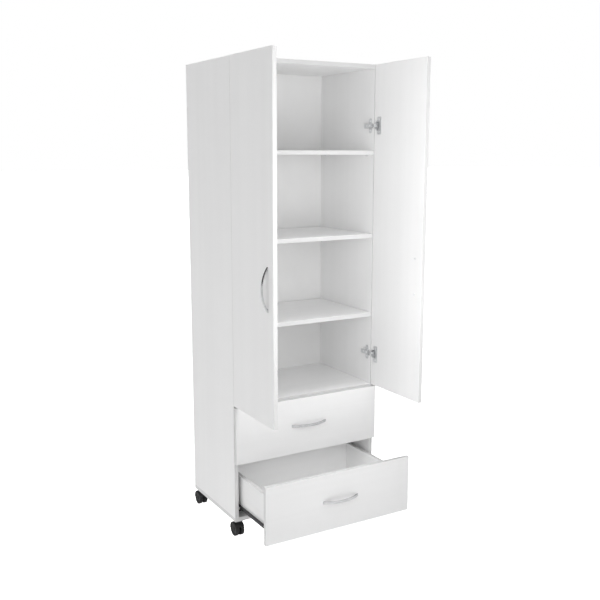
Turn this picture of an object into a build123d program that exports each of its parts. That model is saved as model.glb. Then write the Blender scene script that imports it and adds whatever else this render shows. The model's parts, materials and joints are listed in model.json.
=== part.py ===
from build123d import *
import os

# Wardrobe with two doors over two drawers, on four twin-wheel casters.
# Millimetres, +Z up, front towards -Y. The pieces are laid out in the carcass frame: X = 0 midway
# between the side panels, Y = 0 at their front edges, Z = 0 on the floor. The last loop shifts Y so
# that the origin lies under the middle of the bounding box. The doors stand open and the lower
# drawer is pulled out.

# Carcass
WIDTH = 600.0                # over the side panels
DEPTH = 369.0                # side panels, front to back
HEIGHT = 1700.0              # floor to top
BOARD = 15.0                 # laminated board
BACK_BOARD = 3.0             # hardboard back and drawer bottoms
CASTER_HEIGHT = 62.0         # floor to underside of the bottom panel
DECK_TOP = 502.0             # fixed shelf above the drawers
SHELF_TOPS = {"lower_shelf": 782.0, "middle_shelf": 1083.0, "upper_shelf": 1392.0}
SHELF_PLAY = 0.8             # gap at each end of a loose shelf
EDGE_RADIUS = 0.6            # edge banding of the carcass boards
FRONT_RADIUS = 1.0           # edge banding of the doors and drawer fronts
SHELF_FRONT = 0.5            # loose shelf's front edge behind the carcass front
SHELF_BACK_GAP = 3.0         # loose shelf to back panel
BACK_INSET = 2.0             # back panel in from the carcass's outer edges

# Carcass fittings
CAM_RADIUS = 7.4
CAM_DEPTH = 12.0
CAM_FROM_SIDE = 34.0
CAM_PLAY = 0.1
CAM_ROWS = (60.0, 310.0)     # the cams and their bolts behind the front
CAM_CROSS = (4.0, 0.8, 2.0)  # screwdriver cross: half reach, half width, depth
BOLT_THREAD_RADIUS = 3.0
BOLT_THREAD_LENGTH = 11.0
BOLT_STEM_RADIUS = 2.5
HEAD_PROUD = 0.3             # long screws' heads stand this far out of their board
CONFIRMAT_ROWS = (60.0, 145.0, 230.0, 310.0)
CONFIRMAT_HEAD = (5.0, 2.5)  # radius, height
CONFIRMAT_SHANK = (2.5, 50.0)
SHELF_PIN_RADIUS = 2.5
SHELF_PIN_REACH = 8.0        # into the side panel, and as far under the shelf
SHELF_PIN_ROWS = (37.0, 330.0)
NAIL_LENGTH = 22.0
NAIL_SHANK = 0.8
NAIL_HEAD = (1.8, 0.4)       # radius, height
NAIL_FIRST = 160.0           # lowest nail of the side rows above the floor
NAIL_PITCH = 180.0
NAILS_PER_SIDE = 9

# Doors and drawer fronts
FRONT_GAP = 3.0              # carcass front edge to back of the fronts
DOOR_BOTTOM = 500.0
DOOR_REVEAL = 0.75           # closed door's hinge edge, in from the side panel's outer face
DOOR_MEETING_GAP = 2.5
DOOR_REST_ANGLE = 90.0       # how far the doors stand open
DRAWER_FRONT_HEIGHT = 210.0
DRAWER_PITCH = 215.5         # lower drawer to upper drawer
LOWER_FRONT_BOTTOM = 69.0
LOWER_DRAWER_PULL = 220.0    # how far the lower drawer is pulled out

# Concealed cup hinges
HINGE_HEIGHTS = (624.0, 1482.0)
PIN_HALF_LENGTH = 8.4
KNUCKLE_RADIUS = 2.2
CHEEK_INNER = 5.6            # cup's cheeks, from the middle of the hinge
CHEEK_OUTER = 9.0
CHEEK_HALF_LENGTH = 3.0
KNUCKLE_PLAY = 0.4
CUP_RIM = 1.2                # rim beyond the cup's outside
PIN_FROM_EDGE = 6.6          # hinge pin, in from the door's edge
PIN_DEPTH = 6.6              # hinge pin, below the door's inner face
PIN_RADIUS = 1.25
PIN_PLAY = 0.05
CUP_RADIUS = 17.4
CUP_DEPTH = 12.0
CUP_WALL = 1.0
CUP_FROM_EDGE = 20.5         # cup centre to door edge
CUP_POCKET_PLAY = 0.1
FLANGE_OFFSET = 9.5          # flange centre beyond cup centre
FLANGE_WIDTH = 24.0
FLANGE_HEIGHT = 64.0
FLANGE_THICKNESS = 1.2
FLANGE_SCREW_SPACING = 45.0
NECK_THICKNESS = 1.6
NECK_HALF_WIDTH = 5.0
ARM_HALF_WIDTH = 8.5
ARM_WALL = 1.5
PLATE_THICKNESS = 2.0
ARM_TOP = 9.0                # arm's top above the side panel
ARM_FRONT = 3.0              # arm's ends behind the carcass front
ARM_END = 50.0
ADJUSTING_SCREWS = (14.0, 33.0)  # behind the carcass front
PLATE_BAR = (8.0, 44.0)      # plate's ends behind the carcass front
PLATE_WING = 27.0            # half the height over the plate's wings
PLATE_WING_HALF = 8.0        # half the width of a wing
PLATE_SCREW_SPACING = 32.0
PLATE_CENTRE = 20.0          # plate's wings behind the carcass front

# Bow handles
HANDLE_LENGTH = 147.5
HANDLE_RISE = 22.0
HANDLE_GRIP = 3.5            # strap thickness at the middle
HANDLE_FOOT = 68.0           # inner end of each foot from the middle
HANDLE_WIDTH = 10.0
HANDLE_ROUNDING = 1.2
HANDLE_BOSS_RADIUS = 4.0     # screw boss under each end of the strap
HANDLE_BOSS_HEIGHT = 2.6
HANDLE_SCREW_BITE = 4.0      # thread inside the boss and the strap
HANDLE_HOLE_SPACING = 128.0
DOOR_HANDLE_HEIGHT = 954.0
DOOR_HANDLE_FROM_EDGE = 39.0  # handle's centre line to the door's free edge
DRAWER_HANDLE_HEIGHT = 108.0  # above the bottom of the drawer's front

# Drawer boxes and roller slides
SLIDE_SPACE = 12.5           # box side to side panel
BOX_LENGTH = 355.0
BOX_HEIGHT = 122.0
BOX_BOTTOM = 37.0            # underside of a box side above the bottom of its front
STEEL = 1.2                  # slide profile thickness
SLIDE_LENGTH = 350.0
ROLLER_RADIUS = 7.7
ROLLER_WIDTH = 6.0
ROLLER_PLAY = 0.3            # roller to the flange that it carries or runs on
ROLLER_BORE_PLAY = 0.05
STUB_RADIUS = 2.5
DRAWER_LEG = 12.0            # drawer profile's leg under the box side
DRAWER_WEB_TOP = 12.2        # top of the drawer profile above the underside of the box side
CHANNEL_COVER_GAP = 1.7      # drawer profile to the cabinet channel's upper lip
SLIDE_FRONT = 2.0            # cabinet profile's front end behind the carcass front
CABINET_ROLLER_INSET = 12.0  # roller behind the cabinet profile's front end
DRAWER_ROLLER_INSET = 10.0   # roller before the drawer profile's rear end
ROLLER_OFFSET = -0.3         # rollers towards the drawer, from the middle of the slide
ROLLER_ROUNDING = 0.8
RAIL_SCREWS = (37.0, 165.0, 325.0)  # behind the carcass front
BOX_SCREW_INSET = 30.0       # box screws in from the top and bottom of a side
FRONT_SCREW_X = 200.0

# Casters
WHEEL_RADIUS = 25.0
WHEEL_WIDTH = 12.5
WHEEL_GAP = 8.5
WHEEL_BORE_PLAY = 0.05
WHEEL_ROUNDING = 1.8
WHEEL_DISH = (17.0, 6.0, 2.0)    # outer radius, hub radius, depth
AXLE_RADIUS = 3.0
TRAIL = 4.0                  # axle behind the swivel axis
HOOD_GAP = 0.9
HOOD_WALL = 1.9
CASTER_INSET = 20.0          # swivel axis in from the carcass's edges
CASTER_PLATE = 36.0
CASTER_PLATE_THICKNESS = 1.8
PLATE_HOLE = 13.0            # plate's screw holes, each way from the middle
RACE_RADIUS = 12.0
SPIGOT_RADIUS = 2.3
SPIGOT_BOTTOM = 34.0
SPIGOT_PLAY = 0.05
BOSS_RADIUS = 10.0
BOSS_TOP = 57.0
RACE_GAP = 0.4               # boss to race
WEB_HALF = 3.85              # half thickness of the web between the wheels
WEB_INSET = 0.5              # web's rim below the cover's outside
HOOD_SKIRT = 4.0             # hood's lower edge below the axle
NOSE_CUT = (15.0, 13.0)      # hood cut away before and above the axle
HUB_RADIUS = 8.0
AXLE_INSET = 0.8             # axle's ends in from the hood's sides

HALF = WIDTH / 2
INNER = HALF - BOARD                     # inner face of a side panel
REAR = DEPTH + BACK_BOARD
FRONT_BACK = -FRONT_GAP                  # back face of the closed doors and drawer fronts
FRONT_FACE = -FRONT_GAP - BOARD
DOOR_WIDTH = (WIDTH - 2 * DOOR_REVEAL - DOOR_MEETING_GAP) / 2
DOOR_EDGE = -HALF + DOOR_REVEAL          # closed left door's hinge edge
PIN_X = DOOR_EDGE + PIN_FROM_EDGE
PIN_Y = FRONT_BACK - PIN_DEPTH
OPEN_DOOR_FRONT = PIN_Y + PIN_FROM_EDGE - DOOR_WIDTH     # free edge of the open doors
TOP_BOARD = (HEIGHT - BOARD, HEIGHT)
DECK_BOARD = (DECK_TOP - BOARD, DECK_TOP)
HOOD_INNER_RADIUS = WHEEL_RADIUS + HOOD_GAP
HOOD_RADIUS = HOOD_INNER_RADIUS + HOOD_WALL
HOOD_HALF_WIDTH = WHEEL_GAP / 2 + WHEEL_WIDTH
PLATE_UNDER = CASTER_HEIGHT - CASTER_PLATE_THICKNESS
HOOD_REAR = DEPTH - CASTER_INSET + TRAIL + HOOD_RADIUS
ORIGIN_Y = (HOOD_REAR + OPEN_DOOR_FRONT) / 2

X_DIR = Vector(1, 0, 0)
Y_DIR = Vector(0, 1, 0)
Z_DIR = Vector(0, 0, 1)
MIN_ALIGN = (Align.MIN, Align.MIN, Align.MIN)
END_ALIGN = (Align.CENTER, Align.CENTER, Align.MIN)


def block(x, y, z):
    """A box given by its low and high X, Y and Z."""
    size = [high - low for low, high in (x, y, z)]
    return Pos(x[0], y[0], z[0]) * Box(*size, align=MIN_ALIGN)


def board(x, y, z, radius=EDGE_RADIUS):
    """A laminated board with softened edges."""
    raw = block(x, y, z)
    return fillet(raw.edges(), radius)


def rod(start, direction, radius, length):
    """A cylinder from start along direction."""
    return Plane(origin=start, z_dir=direction) * Cylinder(radius, length, align=END_ALIGN)


def screw(seat, direction, length, shank=1.75, head=3.5, head_height=1.5):
    """A pan-head screw: the head stands on the seat and the shank runs along direction."""
    return rod(seat, direction, shank, length) + rod(seat, -direction, head, head_height)


def mirrored(shapes):
    """The same shapes on the other side of the wardrobe."""
    return [mirror(shape, about=Plane.YZ) for shape in shapes]


def both_sides(shapes):
    return list(shapes) + mirrored(shapes)


def strip(points, width):
    """A flat strip of the given width along a run of points, rounded at each point."""
    discs = [Pos(x, y) * Circle(width / 2) for x, y in points]
    legs = [make_hull(a.edges() + b.edges()) for a, b in zip(discs, discs[1:])]
    return Sketch() + legs


# ---- carcass ----

def side_panel(side):
    x = (INNER, HALF) if side > 0 else (-HALF, -INNER)
    return board(x, (0, DEPTH), (CASTER_HEIGHT + BOARD, HEIGHT))


def cam_seats():
    """Centre of each cam's open face, with the direction into the board."""
    spots = [(side * (INNER - CAM_FROM_SIDE), y) for side in (-1, 1) for y in CAM_ROWS]
    tops = [((x, y, HEIGHT), -Z_DIR) for x, y in spots]
    decks = [((x, y, DECK_BOARD[0]), Z_DIR) for x, y in spots]
    return tops + decks


def cam(seat, direction):
    """A cam lock: a disc with a screwdriver cross cut in its open face."""
    disc = rod(seat, direction, CAM_RADIUS, CAM_DEPTH)
    x, y, z = seat
    reach, width, depth = CAM_CROSS
    slots = [block((x - a, x + a), (y - b, y + b), (z - depth, z + depth))
             for a, b in ((reach, width), (width, reach))]
    return disc - slots


def cam_pockets():
    return [rod(seat, direction, CAM_RADIUS + CAM_PLAY, CAM_DEPTH + CAM_PLAY)
            for seat, direction in cam_seats()]


def connector_bolts():
    """Bolts that the cams pull: each is screwed into a side panel and ends at its cam."""
    bolts = []
    for z in (sum(TOP_BOARD) / 2, sum(DECK_BOARD) / 2):
        for y in CAM_ROWS:
            thread = rod((-INNER, y, z), -X_DIR, BOLT_THREAD_RADIUS, BOLT_THREAD_LENGTH)
            stem = rod((-INNER, y, z), X_DIR, BOLT_STEM_RADIUS, CAM_FROM_SIDE - CAM_RADIUS - CAM_PLAY)
            bolts.append(thread + stem)
    return both_sides(bolts)


def confirmat_screws():
    """Long screws through the bottom panel into the lower ends of the side panels."""
    x = HALF - BOARD / 2
    seats = [(x, y, CASTER_HEIGHT - HEAD_PROUD) for y in CONFIRMAT_ROWS]
    screws = [rod(seat, Z_DIR, *CONFIRMAT_HEAD) + rod(seat, Z_DIR, *CONFIRMAT_SHANK) for seat in seats]
    return both_sides(screws)


def shelf(top):
    x = INNER - SHELF_PLAY
    return board((-x, x), (SHELF_FRONT, DEPTH - SHELF_BACK_GAP), (top - BOARD, top))


def shelf_pins():
    pins = []
    for top in SHELF_TOPS.values():
        z = top - BOARD - SHELF_PIN_RADIUS
        starts = [(-INNER - SHELF_PIN_REACH, y, z) for y in SHELF_PIN_ROWS]
        pins += [rod(start, X_DIR, SHELF_PIN_RADIUS, 2 * SHELF_PIN_REACH) for start in starts]
    return both_sides(pins)


def back_panel():
    x = HALF - BACK_INSET
    return block((-x, x), (DEPTH, REAR), (CASTER_HEIGHT + BACK_INSET, HEIGHT - BACK_INSET))


def back_panel_nails():
    """Nails round the back panel's edge and along the deck."""
    x = HALF - BOARD / 2
    side_rows = [NAIL_FIRST + NAIL_PITCH * step for step in range(NAILS_PER_SIDE)]
    cross_rows = (CASTER_HEIGHT + BOARD / 2, sum(DECK_BOARD) / 2, sum(TOP_BOARD) / 2)
    spots = [(side * x, z) for side in (-1, 1) for z in side_rows]
    spots += [(x, z) for z in cross_rows for x in (-NAIL_PITCH, 0.0, NAIL_PITCH)]
    return [screw((x, REAR, z), -Y_DIR, NAIL_LENGTH, NAIL_SHANK, *NAIL_HEAD) for x, z in spots]


# ---- hinges ----
# Laid out for the closed left door. A point of the arm's neck is given from the side panel's outer
# face and from the carcass front.

WALL = -INNER                            # inner face of the left side panel
NECK = ((23.2, 9.0), (20.0, 4.4), (20.0, -0.6), (18.9, -8.1), (13.8, -10.8),
        (PIN_X + HALF, PIN_Y))
CUP_X = DOOR_EDGE + CUP_FROM_EDGE
FLANGE_X = CUP_X + FLANGE_OFFSET


def slab(sketch, height, half_width):
    """A plan-view sketch made solid over half_width each way of the given height."""
    return extrude(Pos(0, 0, height - half_width) * sketch, amount=2 * half_width)


def hinge_plate(height):
    """A cross-shaped mounting plate on the side panel's inner face."""
    x = (WALL, WALL + PLATE_THICKNESS)
    bar = block(x, PLATE_BAR, (height - ARM_HALF_WIDTH, height + ARM_HALF_WIDTH))
    wing_span = (PLATE_CENTRE - PLATE_WING_HALF, PLATE_CENTRE + PLATE_WING_HALF)
    wings = block(x, wing_span, (height - PLATE_WING, height + PLATE_WING))
    cross = bar + fillet(wings.edges().filter_by(Axis.X), PLATE_WING_HALF - 1.0)
    holes = [rod((WALL, PLATE_CENTRE, height + side * PLATE_SCREW_SPACING / 2), X_DIR, 2.0, 3.0)
             for side in (-1, 1)]
    return cross - holes


def hinge_arm(height):
    """A channel-shaped arm on the plate, with a bent neck that ends in the pin's knuckle."""
    top = WALL + ARM_TOP
    outer = block((WALL + PLATE_THICKNESS, top), (ARM_FRONT, ARM_END),
                  (height - ARM_HALF_WIDTH, height + ARM_HALF_WIDTH))
    outer = fillet(outer.edges().filter_by(Axis.Y).group_by(Axis.X)[-1], 2.0)
    inside = ARM_HALF_WIDTH - ARM_WALL
    hollow = block((WALL, top - ARM_WALL), (0, ARM_END - ARM_WALL), (height - inside, height + inside))
    holes = [rod((top - 5.0, y, height), X_DIR, 2.1, 6.0) for y in ADJUSTING_SCREWS]
    path = [(x - HALF, y) for x, y in NECK]
    neck = slab(strip(path, NECK_THICKNESS), height, NECK_HALF_WIDTH)
    knuckle = slab(Pos(PIN_X, PIN_Y) * Circle(KNUCKLE_RADIUS), height, NECK_HALF_WIDTH)
    bore = slab(Pos(PIN_X, PIN_Y) * Circle(PIN_RADIUS), height, NECK_HALF_WIDTH)
    return outer - hollow - holes + neck + knuckle - bore


def hinge_pin(height):
    return rod((PIN_X, PIN_Y, height - PIN_HALF_LENGTH), Z_DIR, PIN_RADIUS, 2 * PIN_HALF_LENGTH)


def hinge_cup(height):
    """A cup with a mounting flange, and two cheeks inside it that turn on the hinge pin."""
    rim = Pos(CUP_X, height) * Circle(CUP_RADIUS + CUP_RIM)
    plate = Pos(FLANGE_X, height) * RectangleRounded(FLANGE_WIDTH, FLANGE_HEIGHT, 5.0)
    mouth = Plane(origin=(0, FRONT_BACK, 0), x_dir=X_DIR, z_dir=-Y_DIR)
    floor = FRONT_BACK - CUP_DEPTH
    flange = extrude(mouth * (rim + plate), amount=-FLANGE_THICKNESS)
    cup = rod((CUP_X, floor, height), Y_DIR, CUP_RADIUS, CUP_DEPTH)
    cavity = rod((CUP_X, floor + CUP_WALL, height), Y_DIR, CUP_RADIUS - CUP_WALL, CUP_DEPTH + 3.0)
    reach = KNUCKLE_RADIUS + KNUCKLE_PLAY
    notch_half = NECK_HALF_WIDTH + KNUCKLE_PLAY
    notch = block((PIN_X - reach, PIN_X + reach), (PIN_Y - reach, FRONT_BACK + 3.0),
                  (height - notch_half, height + notch_half))
    spans = ((height + CHEEK_INNER, height + CHEEK_OUTER), (height - CHEEK_OUTER, height - CHEEK_INNER))
    cheek_x = (PIN_X - CHEEK_HALF_LENGTH, PIN_X + CHEEK_HALF_LENGTH)
    cheeks = [block(cheek_x, (floor, PIN_Y + CHEEK_HALF_LENGTH), span) & cup for span in spans]
    bore_start = (PIN_X, PIN_Y, height - CHEEK_OUTER)
    bore = rod(bore_start, Z_DIR, PIN_RADIUS + PIN_PLAY, 2 * CHEEK_OUTER)
    holes = [rod((FLANGE_X, FRONT_BACK, z), Y_DIR, 2.0, 2.0) for z in flange_screw_heights(height)]
    return cup + flange - cavity + cheeks - notch - bore - holes


def flange_screw_heights(height):
    return [height + side * FLANGE_SCREW_SPACING / 2 for side in (-1, 1)]


def hinge_fixings(height):
    """The mounting plate's screws and the arm's adjusting screws."""
    plate_face = WALL + PLATE_THICKNESS
    heights = [height + side * PLATE_SCREW_SPACING / 2 for side in (-1, 1)]
    plate = [screw((plate_face, PLATE_CENTRE, z), -X_DIR, 13.0) for z in heights]
    arm = [screw((WALL + ARM_TOP, y, height), -X_DIR, 5.0, shank=2.0) for y in ADJUSTING_SCREWS]
    return plate + arm


# ---- handles ----

def handle():
    """A bow handle along X on the plane Y = 0, standing out towards -Y, with two screw bosses."""
    half = HANDLE_LENGTH / 2
    grip = HANDLE_RISE - HANDLE_GRIP
    outer = ThreePointArc((-half, 0), (0, -HANDLE_RISE), (half, 0))
    inner = ThreePointArc((-HANDLE_FOOT, 0), (0, -grip), (HANDLE_FOOT, 0))
    feet = [Line((-half, 0), (-HANDLE_FOOT, 0)), Line((HANDLE_FOOT, 0), (half, 0))]
    outline = make_face(Curve() + [outer, inner] + feet)
    strap = extrude(Pos(0, 0, -HANDLE_WIDTH / 2) * outline, amount=HANDLE_WIDTH)
    long_edges = [edge for edge in strap.edges() if edge.geom_type == GeomType.CIRCLE]
    x = HANDLE_HOLE_SPACING / 2
    bosses = [rod((side * x, 0, 0), -Y_DIR, HANDLE_BOSS_RADIUS, HANDLE_BOSS_HEIGHT) for side in (-1, 1)]
    return fillet(long_edges, HANDLE_ROUNDING) + bosses


def handle_screws(through):
    """Two screws from behind, through boards of the given thickness, into the handle's bosses."""
    x = HANDLE_HOLE_SPACING / 2
    length = through + HANDLE_SCREW_BITE
    return [screw((side * x, through, 0), -Y_DIR, length, shank=2.0, head=4.2, head_height=2.2)
            for side in (-1, 1)]


# ---- doors ----

def opened(shapes):
    """Closed left-door shapes, turned about the hinge pins to where the door stands."""
    pin = Axis((PIN_X, PIN_Y, 0), (0, 0, 1))
    return [shape.rotate(pin, -DOOR_REST_ANGLE) for shape in shapes]


def door_nodes():
    """The left door's nodes, standing open."""
    x = (DOOR_EDGE, DOOR_EDGE + DOOR_WIDTH)
    panel = board(x, (FRONT_FACE, FRONT_BACK), (DOOR_BOTTOM, HEIGHT), FRONT_RADIUS)
    pocket_depth = CUP_DEPTH + CUP_POCKET_PLAY
    pockets = [rod((CUP_X, FRONT_BACK, z), -Y_DIR, CUP_RADIUS + CUP_POCKET_PLAY, pocket_depth)
               for z in HINGE_HEIGHTS]
    place = Pos(x[1] - DOOR_HANDLE_FROM_EDGE, FRONT_FACE, DOOR_HANDLE_HEIGHT) * Rot(0, 90, 0)
    flange_face = FRONT_BACK + FLANGE_THICKNESS
    screws = [screw((FLANGE_X, flange_face, z), -Y_DIR, 12.0, head_height=1.2)
              for height in HINGE_HEIGHTS for z in flange_screw_heights(height)]
    screws += [place * fixing for fixing in handle_screws(BOARD)]
    return {
        "door_panel": opened([panel - pockets]),
        "door_handle": opened([place * handle()]),
        "door_hinge_cups": opened([hinge_cup(z) for z in HINGE_HEIGHTS]),
        "door_screws": opened(screws),
    }


# ---- drawers and their slides ----
# Slide parts are laid out on the right side. Heights are from the underside of the box side.

BOX_OUTER = INNER - SLIDE_SPACE
BOX_INNER = BOX_OUTER - BOARD
BOX_FRONT = FRONT_BACK
BOX_REAR = BOX_FRONT + BOX_LENGTH
LEG_TOP = -BACK_BOARD
FLANGE_UNDER = DRAWER_WEB_TOP - STEEL
ROLLER_AXIS = FLANGE_UNDER - ROLLER_PLAY - ROLLER_RADIUS
TRACK_TOP = ROLLER_AXIS - ROLLER_RADIUS - ROLLER_PLAY
CHANNEL_TOP = DRAWER_WEB_TOP + CHANNEL_COVER_GAP
CABINET_ROLLER_Y = SLIDE_FRONT + CABINET_ROLLER_INSET
DRAWER_ROLLER_Y = BOX_FRONT + SLIDE_LENGTH - DRAWER_ROLLER_INSET
WEB_FACE = BOX_OUTER + STEEL
CHANNEL_FACE = INNER - STEEL
ROLLER_MIDDLE = (WEB_FACE + CHANNEL_FACE) / 2 + ROLLER_OFFSET


def roller(y, z):
    low = ROLLER_MIDDLE - ROLLER_WIDTH / 2
    tyre = rod((low, y, z), X_DIR, ROLLER_RADIUS, ROLLER_WIDTH)
    tyre = fillet(tyre.edges(), ROLLER_ROUNDING)
    return tyre - rod((low, y, z), X_DIR, STUB_RADIUS + ROLLER_BORE_PLAY, ROLLER_WIDTH)


def cabinet_rail(box_bottom):
    """A channel on the side panel, open towards the drawer, with a stub axle at its front."""
    y = (SLIDE_FRONT, SLIDE_FRONT + SLIDE_LENGTH)
    tip = WEB_FACE + STEEL
    bottom = box_bottom + TRACK_TOP - STEEL
    top = box_bottom + CHANNEL_TOP + STEEL
    web = block((CHANNEL_FACE, INNER), y, (bottom, top))
    track = block((tip, CHANNEL_FACE), y, (bottom, bottom + STEEL))
    cover = block((tip, CHANNEL_FACE), y, (top - STEEL, top))
    axle_start = (CHANNEL_FACE, CABINET_ROLLER_Y, box_bottom + ROLLER_AXIS)
    axle = rod(axle_start, -X_DIR, STUB_RADIUS, CHANNEL_FACE - ROLLER_MIDDLE + ROLLER_WIDTH / 2)
    holes = [rod((CHANNEL_FACE, y, box_bottom + ROLLER_AXIS), X_DIR, 2.0, STEEL) for y in RAIL_SCREWS]
    return web + track + cover + axle - holes


def rail_fixings(box_bottom):
    z = box_bottom + ROLLER_AXIS
    return [screw((CHANNEL_FACE, y, z), X_DIR, 12.0, head_height=1.3) for y in RAIL_SCREWS]


def drawer_rail(box_bottom):
    """An angle under the box side, with a flange on top that runs on the cabinet's roller."""
    y = (BOX_FRONT, BOX_FRONT + SLIDE_LENGTH)
    leg_bottom = box_bottom + LEG_TOP - STEEL
    web = block((BOX_OUTER, WEB_FACE), y, (leg_bottom, box_bottom + DRAWER_WEB_TOP))
    leg = block((BOX_OUTER - DRAWER_LEG, BOX_OUTER), y, (leg_bottom, leg_bottom + STEEL))
    flange_end = DRAWER_ROLLER_Y - ROLLER_RADIUS - 1.0
    flange = block((WEB_FACE, CHANNEL_FACE - 2.2), (BOX_FRONT, flange_end),
                   (box_bottom + FLANGE_UNDER, box_bottom + DRAWER_WEB_TOP))
    axle = rod((WEB_FACE, DRAWER_ROLLER_Y, box_bottom + ROLLER_AXIS), X_DIR, STUB_RADIUS,
               ROLLER_MIDDLE + ROLLER_WIDTH / 2 - WEB_FACE)
    return web + leg + flange + axle


def drawer_screws(box_bottom, handle_height):
    """The box's corner screws, the handle's screws and those that hold the front on."""
    rows = (box_bottom + BOX_SCREW_INSET, box_bottom + BOX_HEIGHT - BOX_SCREW_INSET)
    corners = (BOX_FRONT + BOARD / 2, BOX_REAR - BOARD / 2)
    seats = [(BOX_OUTER + HEAD_PROUD, y, z) for y in corners for z in rows]
    sides = [rod(seat, -X_DIR, 4.5, 2.5) + rod(seat, -X_DIR, 2.4, 48.0) for seat in seats]
    inner_face = BOX_FRONT + BOARD
    fronts = [screw((x, inner_face, z), -Y_DIR, 27.0, shank=1.9, head=3.8)
              for x in (-FRONT_SCREW_X, FRONT_SCREW_X) for z in rows]
    place = Pos(0, FRONT_FACE, handle_height)
    return both_sides(sides) + fronts + [place * fixing for fixing in handle_screws(2 * BOARD)]


def drawer_nodes(front_bottom, pull):
    """One drawer's nodes, with the drawer pulled out by pull."""
    bottom = front_bottom + BOX_BOTTOM
    z = (bottom, bottom + BOX_HEIGHT)
    length = (BOX_FRONT, BOX_REAR)
    handle_height = front_bottom + DRAWER_HANDLE_HEIGHT
    front_z = (front_bottom, front_bottom + DRAWER_FRONT_HEIGHT)
    left, = mirrored([board((BOX_INNER, BOX_OUTER), length, z)])
    box_width = (-BOX_OUTER, BOX_OUTER)
    inner_width = (-BOX_INNER, BOX_INNER)
    closed = {
        "front": [board((-HALF, HALF), (FRONT_FACE, FRONT_BACK), front_z, FRONT_RADIUS)],
        "inner_front": [board(inner_width, (BOX_FRONT, BOX_FRONT + BOARD), z)],
        "left_side": [left],
        "right_side": [board((BOX_INNER, BOX_OUTER), length, z)],
        "back": [board(inner_width, (BOX_REAR - BOARD, BOX_REAR), z)],
        "bottom": [block(box_width, length, (bottom - BACK_BOARD, bottom))],
        "handle": [Pos(0, FRONT_FACE, handle_height) * handle()],
        "rails": both_sides([drawer_rail(bottom)]),
        "screws": drawer_screws(bottom, handle_height),
        "rear_rollers": both_sides([roller(DRAWER_ROLLER_Y, bottom + ROLLER_AXIS)]),
    }
    return {name: [Pos(0, -pull, 0) * shape for shape in shapes] for name, shapes in closed.items()}


# ---- casters ----
# Laid out round the swivel axis, with the axle along X behind it.

CASTER_SPOTS = {
    "front_left": (-HALF + CASTER_INSET, CASTER_INSET),
    "front_right": (HALF - CASTER_INSET, CASTER_INSET),
    "rear_left": (-HALF + CASTER_INSET, DEPTH - CASTER_INSET),
    "rear_right": (HALF - CASTER_INSET, DEPTH - CASTER_INSET),
}


def caster_plate():
    """A square plate with a raised race and the spigot that the hood turns on."""
    plate = extrude(RectangleRounded(CASTER_PLATE, CASTER_PLATE, 3.0), amount=CASTER_PLATE_THICKNESS)
    plate = Pos(0, 0, PLATE_UNDER) * plate
    holes = [rod((x, y, PLATE_UNDER), Z_DIR, 2.0, CASTER_PLATE_THICKNESS) for x, y in plate_holes()]
    race_bottom = BOSS_TOP + RACE_GAP
    race = rod((0, 0, race_bottom), Z_DIR, RACE_RADIUS, PLATE_UNDER - race_bottom)
    spigot = rod((0, 0, SPIGOT_BOTTOM), Z_DIR, SPIGOT_RADIUS, PLATE_UNDER - SPIGOT_BOTTOM)
    return plate - holes + race + spigot


def plate_holes():
    return [(x, y) for x in (-PLATE_HOLE, PLATE_HOLE) for y in (-PLATE_HOLE, PLATE_HOLE)]


def caster_fixings():
    return [screw((x, y, PLATE_UNDER), Z_DIR, 13.5) for x, y in plate_holes()]


def wheel_side(radius, half_width):
    """A disc round the axle."""
    return rod((-half_width, TRAIL, WHEEL_RADIUS), X_DIR, radius, 2 * half_width)


def caster_hood():
    """A hood over both treads, on a web between the wheels, with the axle through it."""
    far = 2 * HOOD_RADIUS
    skirt = WHEEL_RADIUS - HOOD_SKIRT
    nose, nose_height = NOSE_CUT
    kept = block((-far, far), (TRAIL - far, TRAIL + far), (skirt, WHEEL_RADIUS + far))
    nose_cut = block((-far, far), (TRAIL - far, TRAIL - nose), (0, WHEEL_RADIUS + nose_height))
    cover = wheel_side(HOOD_RADIUS, HOOD_HALF_WIDTH) - wheel_side(HOOD_INNER_RADIUS, HOOD_HALF_WIDTH)
    web = wheel_side(HOOD_RADIUS - WEB_INSET, WEB_HALF)
    shell = (cover + web) & kept
    boss_bottom = WHEEL_RADIUS + HOOD_RADIUS - HOOD_SKIRT
    boss = rod((0, 0, boss_bottom), Z_DIR, BOSS_RADIUS, BOSS_TOP - boss_bottom)
    wheels = wheel_side(HOOD_INNER_RADIUS, HOOD_HALF_WIDTH) - wheel_side(HOOD_RADIUS, WEB_HALF)
    hub = wheel_side(HUB_RADIUS, WEB_HALF)
    axle = wheel_side(AXLE_RADIUS, HOOD_HALF_WIDTH - AXLE_INSET)
    bore = rod((0, 0, SPIGOT_BOTTOM - 0.5), Z_DIR, SPIGOT_RADIUS + SPIGOT_PLAY, BOSS_TOP)
    return shell - nose_cut + (boss - wheels) + hub + axle - bore


def caster_wheel(side):
    """A wheel with a dished outer face."""
    inner = side * WHEEL_GAP / 2
    outer = inner + side * WHEEL_WIDTH
    dish_radius, hub_radius, dish_depth = WHEEL_DISH
    centre = (outer, TRAIL, WHEEL_RADIUS)
    tyre = rod((inner, TRAIL, WHEEL_RADIUS), side * X_DIR, WHEEL_RADIUS, WHEEL_WIDTH)
    tyre = fillet(tyre.edges(), WHEEL_ROUNDING)
    dish = rod(centre, -side * X_DIR, dish_radius, dish_depth)
    dish -= rod(centre, -side * X_DIR, hub_radius, dish_depth)
    bore = rod((inner, TRAIL, WHEEL_RADIUS), side * X_DIR, AXLE_RADIUS + WHEEL_BORE_PLAY, WHEEL_WIDTH)
    return tyre - dish - bore


# ---- all nodes ----

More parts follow.
